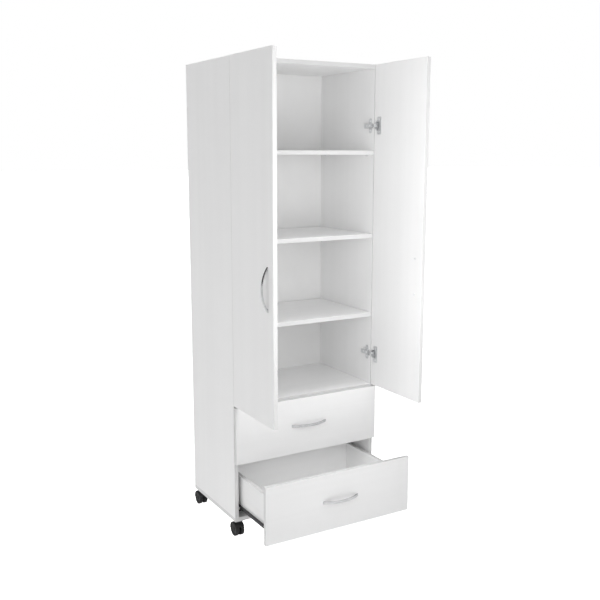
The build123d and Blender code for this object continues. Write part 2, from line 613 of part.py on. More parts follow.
HINGES = [(z, hinge_plate(z), hinge_arm(z), hinge_pin(z), hinge_fixings(z)) for z in HINGE_HEIGHTS]
POCKETS = cam_pockets()
BOXES = {
    "lower_drawer": (LOWER_FRONT_BOTTOM, LOWER_DRAWER_PULL),
    "upper_drawer": (LOWER_FRONT_BOTTOM + DRAWER_PITCH, 0.0),
}
box_bottoms = [front_bottom + BOX_BOTTOM for front_bottom, pull in BOXES.values()]
rail_screws = [fixing for bottom in box_bottoms for fixing in rail_fixings(bottom)]
hinge_screws = [fixing for hinge in HINGES for fixing in hinge[4]]
plate_screws = [Pos(x, y, 0) * fixing for x, y in CASTER_SPOTS.values() for fixing in caster_fixings()]

nodes = {
    "left_side_panel": [side_panel(-1)],
    "right_side_panel": [side_panel(1)],
    "top_panel": [board((-INNER, INNER), (0, DEPTH), TOP_BOARD) - POCKETS],
    "bottom_panel": [board((-HALF, HALF), (0, DEPTH), (CASTER_HEIGHT, CASTER_HEIGHT + BOARD))],
    "drawer_deck": [board((-INNER, INNER), (0, DEPTH), DECK_BOARD) - POCKETS],
    "back_panel": [back_panel()],
    "shelf_pins": shelf_pins(),
    "cam_connectors": [cam(seat, direction) for seat, direction in cam_seats()] + connector_bolts(),
    "carcass_screws": confirmat_screws(),
    "back_panel_nails": back_panel_nails(),
    "hinge_plates": both_sides([hinge[1] for hinge in HINGES]),
    "hinge_arms": both_sides([piece for hinge in HINGES for piece in hinge[2:4]]),
    "cabinet_rails": both_sides([cabinet_rail(bottom) for bottom in box_bottoms]),
    "caster_plates": [Pos(x, y, 0) * caster_plate() for x, y in CASTER_SPOTS.values()],
    "fitting_screws": both_sides(hinge_screws) + both_sides(rail_screws) + plate_screws,
}
for name, top in SHELF_TOPS.items():
    nodes[name] = [shelf(top)]
for name, shapes in door_nodes().items():
    nodes[f"left_{name}"] = shapes
    nodes[f"right_{name}"] = mirrored(shapes)
for drawer, (front_bottom, pull) in BOXES.items():
    for name, shapes in drawer_nodes(front_bottom, pull).items():
        nodes[f"{drawer}_{name}"] = shapes
    front_roller = roller(CABINET_ROLLER_Y, front_bottom + BOX_BOTTOM + ROLLER_AXIS)
    nodes[f"{drawer}_front_rollers"] = both_sides([front_roller])
for corner, (x, y) in CASTER_SPOTS.items():
    nodes[f"{corner}_caster_hood"] = [Pos(x, y, 0) * caster_hood()]
    nodes[f"{corner}_caster_left_wheel"] = [Pos(x, y, 0) * caster_wheel(-1)]
    nodes[f"{corner}_caster_right_wheel"] = [Pos(x, y, 0) * caster_wheel(1)]

os.makedirs("parts", exist_ok=True)
for name, shapes in nodes.items():
    solids = [solid.moved(Location((0, -ORIGIN_Y, 0))) for shape in shapes for solid in shape.solids()]
    export_step(solids[0] if len(solids) == 1 else Compound(solids), f"parts/{name}.step")
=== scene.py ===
import json
import math

import bmesh
import bpy
from mathutils import Matrix, Vector

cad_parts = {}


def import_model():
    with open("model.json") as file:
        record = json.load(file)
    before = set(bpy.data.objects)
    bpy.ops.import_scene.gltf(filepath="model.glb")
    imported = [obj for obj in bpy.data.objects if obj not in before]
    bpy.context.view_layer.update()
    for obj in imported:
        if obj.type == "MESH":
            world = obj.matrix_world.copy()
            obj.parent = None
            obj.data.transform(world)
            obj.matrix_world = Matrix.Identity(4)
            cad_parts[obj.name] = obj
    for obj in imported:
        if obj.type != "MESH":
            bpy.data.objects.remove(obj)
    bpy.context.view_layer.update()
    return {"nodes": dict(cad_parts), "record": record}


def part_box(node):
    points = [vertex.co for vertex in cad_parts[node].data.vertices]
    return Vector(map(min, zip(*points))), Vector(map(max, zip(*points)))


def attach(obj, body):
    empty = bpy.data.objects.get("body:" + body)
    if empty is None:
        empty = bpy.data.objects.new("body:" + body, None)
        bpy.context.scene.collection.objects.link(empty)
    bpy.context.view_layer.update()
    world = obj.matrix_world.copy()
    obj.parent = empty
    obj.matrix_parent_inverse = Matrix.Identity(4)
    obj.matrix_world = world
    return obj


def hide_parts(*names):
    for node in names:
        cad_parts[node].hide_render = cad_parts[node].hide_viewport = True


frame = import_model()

# Wardrobe with two doors over two drawers. The boards, hinges and slides are the CAD nodes with
# finished materials. Handles, wheels, caster hoods, rollers, screws, nails and pins are built here
# as finer meshes in the places of their CAD nodes.

NODES = frame["nodes"]
BODY_OF = {node: body for body, group in frame["record"]["behaviour"]["bodies"].items() for node in group}
SLOT_OF = {node: NODES[node].material_slots[0].material.name.split(".")[0] for node in NODES}
MM = 0.001

# Base colours, in linear light
WHITE = (0.92, 0.92, 0.92)
EDGE_WHITE = (0.74, 0.74, 0.74)
HARDBOARD_WHITE = (0.85, 0.85, 0.848)
SATIN = (0.58, 0.58, 0.59)
ZINC = (0.70, 0.71, 0.72)
BLACK_COAT = (0.020, 0.020, 0.022)
CASTER_BLACK = (0.012, 0.012, 0.013)
NYLON = (0.72, 0.71, 0.66)

# Studio
LENS = 50.0
SENSOR = 36.0
CAMERA_PLACE = (-1.5253, -2.6114, 1.3840)
CAMERA_YAW = 0.527           # from +Y towards +X
CAMERA_PITCH = -0.175
CAMERA_ROLL = 0.001
DOME = {                     # the dome's light: direction, range of that coordinate, strengths
    "front": ("Y", (0.0, 0.9), (0.06, 0.0)),
    "left": ("X", (-1.0, 0.1), (1.02, 0.0)),
    "top": ("Z", (0.9, 1.0), (0.0, 6.0)),
}
REFLECTED = {                # what shiny parts mirror instead: bright in front, dim behind
    "front": ("Y", (-0.9, 0.2), (1.6, 0.14)),
    "right": ("X", (0.3, 0.9), (0.0, -0.3)),
}
AREA_LIGHTS = {              # place, the point that it faces, width, height, power
    "between_doors": ((-0.12, -0.95, 1.20), (0.18, 0.2, 1.10), 0.3, 1.2, 6.3),
    "above_drawers": ((0.10, -0.62, 1.00), (0.10, -0.45, 0.2), 0.35, 0.25, 0.3),
    "over_open_drawer": ((0.0, -0.17, 0.275), (0.0, -0.17, 0.0), 0.4, 0.12, 0.16),
}
FLOOR_HALF_SIZE = 60.0
FLOOR_GLOW = 0.18            # emission that lights the wardrobe from below
FLOOR_GLOW_SEEN = 1.2        # emission to the camera, enough for white


# ---- materials ----

class Nodes:
    """A new material with short calls for the nodes that it is made of."""

    def __init__(self, name):
        self.material = bpy.data.materials.new(name)
        self.material.use_nodes = True
        self.tree = self.material.node_tree
        self.shader = self.tree.nodes["Principled BSDF"]

    def link(self, value, socket):
        """Joins an output to a socket, or sets the socket to a constant."""
        if isinstance(value, bpy.types.NodeSocket):
            self.tree.links.new(value, socket)
        else:
            socket.default_value = value

    def add(self, kind, output, settings=None, **inputs):
        node = self.tree.nodes.new(kind)
        for key, value in (settings or {}).items():
            setattr(node, key, value)
        for key, value in inputs.items():
            self.link(value, node.inputs[key.replace("_", " ")])
        return node.outputs[output]

    def coordinates(self):
        return self.add("ShaderNodeTexCoord", "Object")

    def normal(self):
        return self.add("ShaderNodeTexCoord", "Normal")

    def noise(self, scale, detail=3.0, vector=None):
        place = self.coordinates() if vector is None else vector
        return self.add("ShaderNodeTexNoise", "Fac", Vector=place, Scale=scale, Detail=detail)

    def scaled(self, factors):
        """Object coordinates stretched by three factors, for streaks."""
        return self.add("ShaderNodeMapping", "Vector", Vector=self.coordinates(), Scale=factors)

    def ramp(self, value, low, high, to_low=0.0, to_high=1.0):
        node = self.tree.nodes.new("ShaderNodeMapRange")
        node.interpolation_type = "SMOOTHSTEP"
        for key, number in (("Value", value), ("From Min", low), ("From Max", high),
                            ("To Min", to_low), ("To Max", to_high)):
            self.link(number, node.inputs[key])
        return node.outputs["Result"]

    def math(self, operation, a, b=0.0):
        node = self.tree.nodes.new("ShaderNodeMath")
        node.operation = operation
        self.link(a, node.inputs[0])
        self.link(b, node.inputs[1])
        return node.outputs[0]

    def split(self, vector):
        node = self.tree.nodes.new("ShaderNodeSeparateXYZ")
        self.link(vector, node.inputs[0])
        return list(node.outputs)

    def mix(self, factor, a, b):
        """Colour a where factor is 0 and b where it is 1."""
        node = self.tree.nodes.new("ShaderNodeMix")
        node.data_type = "RGBA"
        self.link(factor, node.inputs["Factor"])
        for name, value in (("A", a), ("B", b)):
            socket = [s for s in node.inputs if s.name == name and s.type == "RGBA"][0]
            self.link(value if isinstance(value, bpy.types.NodeSocket) else (*value, 1.0), socket)
        return [s for s in node.outputs if s.type == "RGBA"][0]

    def bump(self, *layers):
        """Heights in metres added on each other: each layer is a 0-1 value and its depth."""
        total = None
        for value, depth in layers:
            part = self.math("MULTIPLY", value, depth)
            total = part if total is None else self.math("ADD", total, part)
        normal = self.add("ShaderNodeBump", "Normal", Height=total, Distance=1.0, Strength=1.0)
        self.link(normal, self.shader.inputs["Normal"])

    def finish(self, colour, roughness, **constants):
        self.link(colour, self.shader.inputs["Base Color"])
        self.link(roughness, self.shader.inputs["Roughness"])
        for key, value in constants.items():
            self.shader.inputs[key.replace("_", " ")].default_value = value
        return self.material


def shade(colour, factor):
    return tuple(min(1.0, channel * factor) for channel in colour)


def laminate(axis, grain):
    """White melamine-faced board, `axis` being its thickness and `grain` its streaks' direction. Faces
    have a pearl grain, the banded edges are smoother, and the arrises show the band's glue line."""
    n = Nodes(f"white_laminate_{'xyz'[axis]}{'xyz'[grain]}")
    parts = n.split(n.normal())
    sizes = [n.math("ABSOLUTE", part) for part in parts]
    largest = n.math("MAXIMUM", n.math("MAXIMUM", sizes[0], sizes[1]), sizes[2])
    arris = n.ramp(largest, 0.80, 0.995, 1.0, 0.0)
    edge = n.ramp(sizes[axis], 0.35, 0.65, 1.0, 0.0)
    pearl = n.noise(900.0, 2.0)
    cloud = n.noise(3.5, 4.0)
    broad = n.noise(1.0, 3.0, n.scaled([0.6 if i == grain else 24.0 for i in range(3)]))
    fine = n.noise(1.0, 3.0, n.scaled([2.5 if i == grain else 160.0 for i in range(3)]))
    face = n.mix(n.ramp(broad, 0.3, 0.7), shade(WHITE, 0.988), shade(WHITE, 1.008))
    face = n.mix(n.ramp(fine, 0.50, 0.80, 0.0, 0.35), face, shade(WHITE, 0.965))
    face = n.mix(n.ramp(cloud, 0.35, 0.75, 0.0, 0.3), face, shade(WHITE, 0.975))
    face = n.mix(n.ramp(pearl, 0.62, 0.80, 0.0, 0.35), face, shade(WHITE, 0.955))
    band = n.mix(n.ramp(fine, 0.3, 0.7), shade(EDGE_WHITE, 0.98), shade(EDGE_WHITE, 1.01))
    colour = n.mix(edge, face, band)
    colour = n.mix(n.math("MULTIPLY", arris, 0.35), colour, shade(EDGE_WHITE, 0.84))
    satin = n.ramp(n.noise(14.0, 3.0), 0.3, 0.7, 0.40, 0.50)
    roughness = n.math("SUBTRACT", satin, n.math("MULTIPLY", edge, 0.08))
    n.bump((pearl, 0.000035), (fine, 0.00004), (n.noise(9.0, 1.0), 0.0004))
    return n.finish(colour, roughness, Specular_IOR_Level=0.42)


def hardboard():
    """Lacquered hardboard: a thin white film over fine matted fibres."""
    n = Nodes("white_hardboard")
    fibres = n.noise(1.0, 5.0, n.scaled((420.0, 420.0, 150.0)))
    cloud = n.noise(5.0, 4.0)
    colour = n.mix(n.ramp(cloud, 0.3, 0.7), shade(HARDBOARD_WHITE, 0.975), shade(HARDBOARD_WHITE, 1.015))
    colour = n.mix(n.ramp(fibres, 0.60, 0.78, 0.0, 0.4), colour, shade(HARDBOARD_WHITE, 0.90))
    n.bump((fibres, 0.00009), (n.noise(700.0, 2.0), 0.00004))
    return n.finish(colour, n.ramp(fibres, 0.3, 0.7, 0.50, 0.66), Specular_IOR_Level=0.35)


def metal(name, colour, roughness, streak=(500.0, 500.0, 25.0), depth=0.00001, metallic=1.0):
    """Metal with fine directional polishing marks, cloudy tone and a few rubbed spots."""
    n = Nodes(name)
    lines = n.noise(1.0, 3.0, n.scaled(streak))
    cloud = n.noise(45.0, 4.0)
    specks = n.noise(1800.0, 1.0)
    toned = n.mix(n.ramp(cloud, 0.3, 0.7), shade(colour, 0.90), shade(colour, 1.08))
    toned = n.mix(n.ramp(lines, 0.35, 0.75, 0.0, 0.5), toned, shade(colour, 1.18))
    toned = n.mix(n.ramp(specks, 0.66, 0.80, 0.0, 0.4), toned, shade(colour, 0.72))
    rough = n.math("ADD", n.ramp(lines, 0.3, 0.7, -0.05, 0.05), n.ramp(cloud, 0.3, 0.7, roughness - 0.03,
                                                                     roughness + 0.04))
    n.bump((lines, depth), (specks, depth * 0.6))
    return n.finish(toned, rough, Metallic=metallic)


def coated_steel(name, colour):
    """Powder-coated steel: orange-peel skin, with a painted sheen on its high spots."""
    n = Nodes(name)
    peel = n.noise(750.0, 2.0)
    cloud = n.noise(40.0, 4.0)
    toned = n.mix(n.ramp(cloud, 0.3, 0.7), shade(colour, 0.85), shade(colour, 1.25))
    # painted sheen: the peel's high spots are coloured lighter, as if they caught the light
    toned = n.mix(n.ramp(peel, 0.6, 0.8, 0.0, 0.3), toned, shade(colour, 1.9))
    n.bump((peel, 0.00006), (n.noise(220.0, 1.0), 0.00008))
    return n.finish(toned, n.ramp(peel, 0.3, 0.7, 0.34, 0.48), Specular_IOR_Level=0.5)


def plastic(name, colour, roughness, grain=900.0, depth=0.00004):
    """Moulded plastic with a spark-eroded grain, its raised spots given a painted highlight."""
    n = Nodes(name)
    texture = n.noise(grain, 3.0)
    cloud = n.noise(60.0, 4.0)
    toned = n.mix(n.ramp(cloud, 0.3, 0.75), shade(colour, 0.88), shade(colour, 1.22))
    # painted highlight: the grain's raised spots are coloured lighter, as if they caught the light
    toned = n.mix(n.ramp(texture, 0.62, 0.80, 0.0, 0.35), toned, shade(colour, 1.6))
    n.bump((texture, depth))
    return n.finish(toned, n.ramp(cloud, 0.3, 0.7, roughness - 0.05, roughness + 0.07),
                    Specular_IOR_Level=0.5)


LAMINATES = {}
MATERIALS = {
    "white_hardboard": hardboard(),
    "satin_metal": metal("satin_metal", SATIN, 0.20),
    "zinc_steel": metal("zinc_steel", ZINC, 0.46, (300.0, 300.0, 300.0), 0.000008, 0.6),
    "bright_zinc": metal("bright_zinc", shade(ZINC, 1.28), 0.34, (300.0, 300.0, 300.0), 0.000008, 0.5),
    "caster_steel": metal("caster_steel", shade(ZINC, 0.57), 0.42, (300.0, 300.0, 300.0)),
    "black_steel": coated_steel("black_steel", BLACK_COAT),
    "roller_nylon": plastic("roller_nylon", NYLON, 0.42, 1200.0, 0.00002),
    "caster_plastic": plastic("caster_plastic", CASTER_BLACK, 0.60),
    "caster_wheel": plastic("caster_wheel", shade(CASTER_BLACK, 0.85), 0.55, 1300.0, 0.00002),
}


def material_for(node):
    slot = SLOT_OF[node]
    if node.endswith("screws"):
        return MATERIALS["bright_zinc"]
    if slot != "white_laminate":
        return MATERIALS[slot]
    low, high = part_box(node)
    size = high - low
    thin, _, grain = sorted(range(3), key=lambda axis: size[axis])
    if (thin, grain) not in LAMINATES:
        LAMINATES[thin, grain] = laminate(thin, grain)
    return LAMINATES[thin, grain]


# ---- mesh helpers ----

def ring(mesh, points):
    return [mesh.verts.new(point) for point in points]


def bridge(mesh, rings, closed=False):
    """Quads between rings of equal length, each ring being a loop."""
    pairs = list(zip(rings, rings[1:]))
    if closed:
        pairs.append((rings[-1], rings[0]))
    for a, b in pairs:
        for i in range(len(a)):
            j = (i + 1) % len(a)
            mesh.faces.new((a[i], a[j], b[j], b[i]))


def lathe(mesh, profile, place, steps=48):
    """Turns a profile of (radius, height) about the local Z of `place`. A radius of 0 is a pole."""
    rings = []
    for radius, height in profile:
        if radius == 0:
            rings.append([mesh.verts.new(place @ Vector((0, 0, height)))])
            continue
        turn = [2 * math.pi * step / steps for step in range(steps)]
        rings.append(ring(mesh, [place @ Vector((radius * math.cos(a), radius * math.sin(a), height))
                                 for a in turn]))
    for a, b in zip(rings, rings[1:]):
        for i in range(steps):
            j = (i + 1) % steps
            corners = [a[0]] if len(a) == 1 else [a[i], a[j]]
            corners += [b[0]] if len(b) == 1 else [b[j], b[i]]
            mesh.faces.new(corners)
    return rings


def corner(centre, radius, start, end, steps=4):
    """Points (r, z) of an arc, by angles in degrees, for a profile's rounded corner."""
    angles = [math.radians(start + (end - start) * step / steps) for step in range(steps + 1)]
    return [(centre[0] + radius * math.cos(a), centre[1] + radius * math.sin(a)) for a in angles]


def along(start, direction):
    """A matrix that puts local Z along direction, from start."""
    turn = Vector(direction).to_track_quat("Z", "Y").to_matrix().to_4x4()
    return Matrix.Translation(start) @ turn


def piece(name, mesh, node, smooth_angle=35.0):
    """Makes the mesh a piece that stands for a CAD node and rides on its body."""
    bmesh.ops.recalc_face_normals(mesh, faces=mesh.faces)
    data = bpy.data.meshes.new(name)
    mesh.to_mesh(data)
    mesh.free()
    made = bpy.data.objects.new(name, data)
    bpy.context.scene.collection.objects.link(made)
    for polygon in data.polygons:
        polygon.use_smooth = True
    data.set_sharp_from_angle(angle=math.radians(smooth_angle))
    data.materials.append(material_for(node))
    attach(made, BODY_OF[node])
    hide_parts(node)
    return made


def solids_of(node):
    """The welded corner points of each separate solid in a CAD node."""
    mesh = bmesh.new()
    mesh.from_mesh(NODES[node].data)
    bmesh.ops.remove_doubles(mesh, verts=mesh.verts, dist=1e-6)
    waiting = set(mesh.verts)
    found = []
    while waiting:
        group, front = [], [waiting.pop()]
        while front:
            vertex = front.pop()
            group.append(vertex.co.copy())
            for edge in vertex.link_edges:
                other = edge.other_vert(vertex)
                if other in waiting:
                    waiting.remove(other)
                    front.append(other)
        found.append(group)
    mesh.free()
    return found


class Shank:
    """Where a straight fixing lies: its axis, its length, and the radii along it."""

    def __init__(self, points):
        low = Vector(min(p[i] for p in points) for i in range(3))
        high = Vector(max(p[i] for p in points) for i in range(3))
        size, middle = high - low, (low + high) / 2
        across = [abs(size[(i + 1) % 3] - size[(i + 2) % 3]) for i in range(3)]
        axis = min(range(3), key=lambda i: across[i])
        unit = Vector(1.0 if i == axis else 0.0 for i in range(3))
        radius = [((p - middle) - (p - middle).dot(unit) * unit).length for p in points]
        place = [(p - middle).dot(unit) for p in points]
        widest = max(radius)
        heads = [d for d, r in zip(place, radius) if r > widest - 1e-5]
        side = 1.0 if sum(heads) / len(heads) > 0 else -1.0
        self.inward = -side * unit                     # from the head to the tip
        self.length = size[axis]
        self.start = middle + side * unit * self.length / 2
        self.head = widest
        self.head_height = self.length / 2 - min(side * d for d in heads)
        thin = [r for r in radius if r < widest - 2e-4]
        self.radius = max(thin) if thin else widest


SCREW_STEPS = 24
CROSS_TURN = math.pi / 12        # lines the rim's corners up with the cross


def shank_profile(s, start, thread):
    """(radius, height) points of ridges down the shank, then its point."""
    tip = min(2.2 * s.radius, 0.3 * (s.length - start))
    pitch = max(1.1 * MM, s.radius * 0.7)
    root = s.radius * (1 - thread)
    points, height = [], start + 0.4 * MM
    while thread > 0 and height + pitch < s.length - tip:
        points += [(root, height), (s.radius, height + pitch * 0.45), (root, height + pitch * 0.9)]
        height += pitch
    points += [(root, s.length - tip), (0.25 * s.radius, s.length - 0.2 * MM), (0, s.length)]
    return points


def cross_head(mesh, place, s):
    """The crown of a head down to 0.86 of its radius, with a sunk cross in it. Returns its rim."""
    reach, arm = 0.52 * s.head, 0.12 * s.head
    outline = []
    for quarter in range(4):
        spin = Matrix.Rotation(quarter * math.pi / 2, 4, "Z")
        outline += [spin @ Vector((x, y, 0)) for x, y in ((reach, -arm), (reach, arm), (arm, arm))]
    depth = 0.75 * s.head_height
    bottom = ring(mesh, [place @ (p * 0.86 + Vector((0, 0, depth))) for p in outline])
    top = ring(mesh, [place @ (p + Vector((0, 0, 0.03 * s.head_height))) for p in outline])
    mesh.faces.new(bottom)
    bridge(mesh, [bottom, top])
    rim = []
    for step in range(SCREW_STEPS):
        angle = 2 * math.pi * step / SCREW_STEPS - CROSS_TURN
        spot = Vector((0.7 * s.head * math.cos(angle), 0.7 * s.head * math.sin(angle), 0.14 * s.head_height))
        rim.append(mesh.verts.new(place @ spot))
    for i in range(len(top)):
        a, b, c = 2 * i, 2 * i + 1, (2 * i + 2) % SCREW_STEPS
        mesh.faces.new((top[i], rim[a], rim[b], rim[c], top[(i + 1) % len(top)]))
    return rim


def add_screw(mesh, s, thread=0.22):
    """A domed head with a cross recess, over a ridged shank."""
    place = along(s.start, s.inward)
    rim = cross_head(mesh, place, s)
    crown = s.head_height
    profile = [(0.90 * s.head, 0.34 * crown), (0.98 * s.head, 0.60 * crown), (s.head, 0.80 * crown)]
    profile += [(s.head, crown), (s.radius * 0.99, crown)] + shank_profile(s, crown, thread)
    turned = Matrix.Rotation(-CROSS_TURN, 4, "Z")
    rings = lathe(mesh, profile, place @ turned, SCREW_STEPS)
    bridge(mesh, [rim, rings[0]])


def add_nail(mesh, s):
    """A flat round head with a soft rim, over a plain shank."""
    place = along(s.start, s.inward)
    crown = s.head_height
    profile = [(0, 0), (0.7 * s.head, 0.03 * crown), (0.93 * s.head, 0.18 * crown), (s.head, 0.5 * crown)]
    profile += [(s.head, crown), (s.radius, crown)] + shank_profile(s, crown, 0.0)
    lathe(mesh, profile, place, 16)


def add_pin(mesh, s):
    """A shelf pin with chamfered ends and a groove at the board's face."""
    place = along(s.start, s.inward)
    bevel, groove, half = 0.4 * MM, 0.25 * MM, s.length / 2
    radius = s.head
    profile = [(0, 0), (radius - bevel, 0), (radius, bevel), (radius, half - 2 * groove)]
    profile += [(radius - groove, half - groove), (radius - groove, half + groove)]
    profile += [(radius, half + 2 * groove), (radius, s.length - bevel), (radius - bevel, s.length)]
    lathe(mesh, profile + [(0, s.length)], place, 24)


def fixings(node, add):
    """Rebuilds every fixing of a CAD node as one finer mesh."""
    mesh = bmesh.new()
    for points in solids_of(node):
        add(mesh, Shank(points))
    return piece(f"{node}_shaped", mesh, node)


# ---- handles ----

HANDLE_LENGTH = 147.5 * MM
HANDLE_RISE = 22.0 * MM
HANDLE_FOOT = 68.0 * MM          # inner end of each foot from the middle
HANDLE_GRIP = 3.5 * MM           # strap thickness at the middle
HANDLE_WIDTH = 10.0 * MM
HANDLE_ROUNDING = 1.2 * MM
HANDLE_STATIONS = 72
SCREW_SPACING = 128.0 * MM
HANDLE_BOSS_HEIGHT = 2.6 * MM
HANDLE_BOSS_RADIUS = 4.0 * MM


def arc_height(x, half, rise):
    """Height at x of the circular arc over a chord of 2 * half."""
    radius = (half * half + rise * rise) / (2 * rise)
    return math.sqrt(max(0.0, radius * radius - x * x)) - (radius - rise)


def rounded_section(half_u, half_v, radius, steps=5):
    """Points (u, v) round a rectangle with rounded corners."""
    radius = min(radius, half_u * 0.98, half_v * 0.98)
    points = []
    for quarter, (u, v) in enumerate(((1, 1), (-1, 1), (-1, -1), (1, -1))):
        centre = (u * (half_u - radius), v * (half_v - radius))
        points += corner(centre, radius, 90.0 * quarter, 90.0 * quarter + 90.0, steps)
    return points


def handle_frame(node):
    """A matrix from (along, across, out) to the handle's place, with its feet on the board."""
    low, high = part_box(node)
    size = high - low
    order = sorted(range(3), key=lambda axis: size[axis])
    across, out, length = order
    middle = (low + high) / 2
    corners = [v.co for v in NODES[node].data.vertices]
    foot = max(corners, key=lambda p: p[length])[out]
    tip = low[out] if foot > middle[out] else high[out]
    middle[out] = foot
    columns = [Vector((0, 0, 0)) for _ in range(3)]
    columns[0][length] = 1.0
    columns[1][across] = 1.0
    columns[2][out] = 1.0 if tip > foot else -1.0
    turn = Matrix(columns).transposed().to_4x4()
    return Matrix.Translation(middle) @ turn


def bow_handle(node):
    """A strap between two arcs, which widens into a flat foot at each end."""
    mesh = bmesh.new()
    place = handle_frame(node)
    half = HANDLE_LENGTH / 2
    rings = []
    for station in range(HANDLE_STATIONS + 1):
        t = math.sin(math.pi * (station / HANDLE_STATIONS - 0.5))
        outer_x, inner_x = t * half, t * HANDLE_FOOT
        outer = Vector((outer_x, 0, arc_height(outer_x, half, HANDLE_RISE)))
        inner = Vector((inner_x, 0, arc_height(inner_x, HANDLE_FOOT, HANDLE_RISE - HANDLE_GRIP)))
        middle, across = (outer + inner) / 2, outer - inner
        section = rounded_section(across.length / 2, HANDLE_WIDTH / 2, HANDLE_ROUNDING)
        thick = across.normalized()
        rings.append(ring(mesh, [place @ (middle + thick * u + Vector((0, v, 0))) for u, v in section]))
    bridge(mesh, rings)
    mesh.faces.new(rings[0])
    mesh.faces.new(rings[-1])
    for side in (-1, 1):
        seat = place @ Matrix.Translation((side * SCREW_SPACING / 2, 0, 0))
        boss = [(0, 0.0), (HANDLE_BOSS_RADIUS, 0.0)]
        boss += [(HANDLE_BOSS_RADIUS, HANDLE_BOSS_HEIGHT), (0, HANDLE_BOSS_HEIGHT)]
        lathe(mesh, boss, seat, 32)
    return piece(f"{node}_shaped", mesh, node, 40.0)


# ---- rollers and wheels ----

ROLLER_BORE = 2.55 * MM
WHEEL_RADIUS = 25.0 * MM
WHEEL_WIDTH = 12.5 * MM
WHEEL_BORE = 3.05 * MM
TREAD_CORNER = 1.8 * MM


def closed_lathe(mesh, profile, place, steps):
    """Turns a profile whose ends meet in a bore."""
    rings = lathe(mesh, profile, place, steps)
    bridge(mesh, [rings[-1], rings[0]])
    return rings


def add_roller(mesh, s):
    """A flanged nylon roller: a crowned tread, dished sides and a bore."""
    bore, radius, width = ROLLER_BORE, s.head, s.length
    side = [(bore, 0.0), (bore + 1.1 * MM, 0.0), (bore + 1.4 * MM, 0.9 * MM), (radius - 1.9 * MM, 0.9 * MM)]
    side += [(radius - 1.5 * MM, 0.0)] + corner((radius - 0.8 * MM, 0.8 * MM), 0.75 * MM, -90, 0)
    far = [(r, width - z) for r, z in reversed(side)]
    closed_lathe(mesh, side + [(radius, width / 2)] + far, along(s.start, s.inward), 40)


def caster_wheel(node, side):
    """A wheel with a soft tread, a stepped rim, a dished disc and a raised hub on its outer face."""
    low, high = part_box(node)
    middle = (low + high) / 2
    inner_face = Vector((low.x if side > 0 else high.x, middle.y, middle.z))
    inset, flat = WHEEL_RADIUS - TREAD_CORNER, WHEEL_WIDTH - TREAD_CORNER
    hub = [(WHEEL_BORE, 0.5), (WHEEL_BORE + 0.5 * MM, 0.0), (8.0 * MM, 0.0), (8.5 * MM, 0.9)]
    hub += [(19.5 * MM, 0.9), (20.0 * MM, 0.0)]
    profile = [(r, z * MM) for r, z in hub]
    profile += corner((inset, TREAD_CORNER), TREAD_CORNER, -90, 0)
    profile += corner((inset, flat), TREAD_CORNER, 0, 90)
    steps = ((21.4, 12.5), (21.0, 12.1), (20.9, 11.4), (20.2, 11.3), (20.0, 12.0), (19.6, 12.2), (17.6, 12.2),
             (17.1, 11.9), (16.6, 10.8), (15.8, 10.5), (8.8, 10.5), (7.9, 10.7), (7.3, 11.3), (6.9, 12.1),
             (6.3, 12.4), (3.9, 12.4), (3.4, 12.2), (3.05, 11.8))
    profile += [(r * MM, z * MM) for r, z in steps]
    mesh = bmesh.new()
    closed_lathe(mesh, profile, along(inner_face, (side, 0, 0)), 72)
    return piece(f"{node}_shaped", mesh, node, 50.0)


# ---- caster hoods ----

HOOD_INNER = 25.9 * MM
HOOD_OUTER = 27.8 * MM
HOOD_REAR_ANGLE = -8.0
HOOD_FRONT_ANGLE = 152.0
HOOD_STATIONS = 40
HOOD_TRAIL = 4.0 * MM            # the axle's distance behind the swivel
WEB_HALF = 3.85 * MM
WEB_NOSE = (-15.0 * MM, 13.0 * MM)       # the cut-away's reach in front of the axle and its height
WEB_BOTTOM = -4.0 * MM
HUB_RADIUS = 8.0 * MM
HUB_BEVEL = 0.4 * MM
AXLE_RADIUS = 3.0 * MM
AXLE_BEVEL = 0.5 * MM
SWIVEL_BOSS_RADIUS = 10.0 * MM


def hood_band(mesh, centre, half_width):
    """The curved cover over both treads, with rounded rims."""
    depth = (HOOD_OUTER - HOOD_INNER) / 2
    section = rounded_section(half_width, depth, 0.8 * MM, 4)
    rings = []
    for station in range(HOOD_STATIONS + 1):
        share = station / HOOD_STATIONS
        angle = math.radians(HOOD_REAR_ANGLE + share * (HOOD_FRONT_ANGLE - HOOD_REAR_ANGLE))
        ray = Vector((0, math.cos(angle), math.sin(angle)))
        middle = centre + ray * (HOOD_INNER + HOOD_OUTER) / 2
        rings.append(ring(mesh, [middle + Vector((u, 0, 0)) + ray * v for u, v in section]))
    bridge(mesh, rings)
    ends = [mesh.faces.new(rings[0]), mesh.faces.new(rings[-1])]
    rims = list({edge for end in ends for edge in end.edges})
    bmesh.ops.bevel(mesh, geom=rims, offset=0.5 * MM, segments=2, affect="EDGES", clamp_overlap=True)


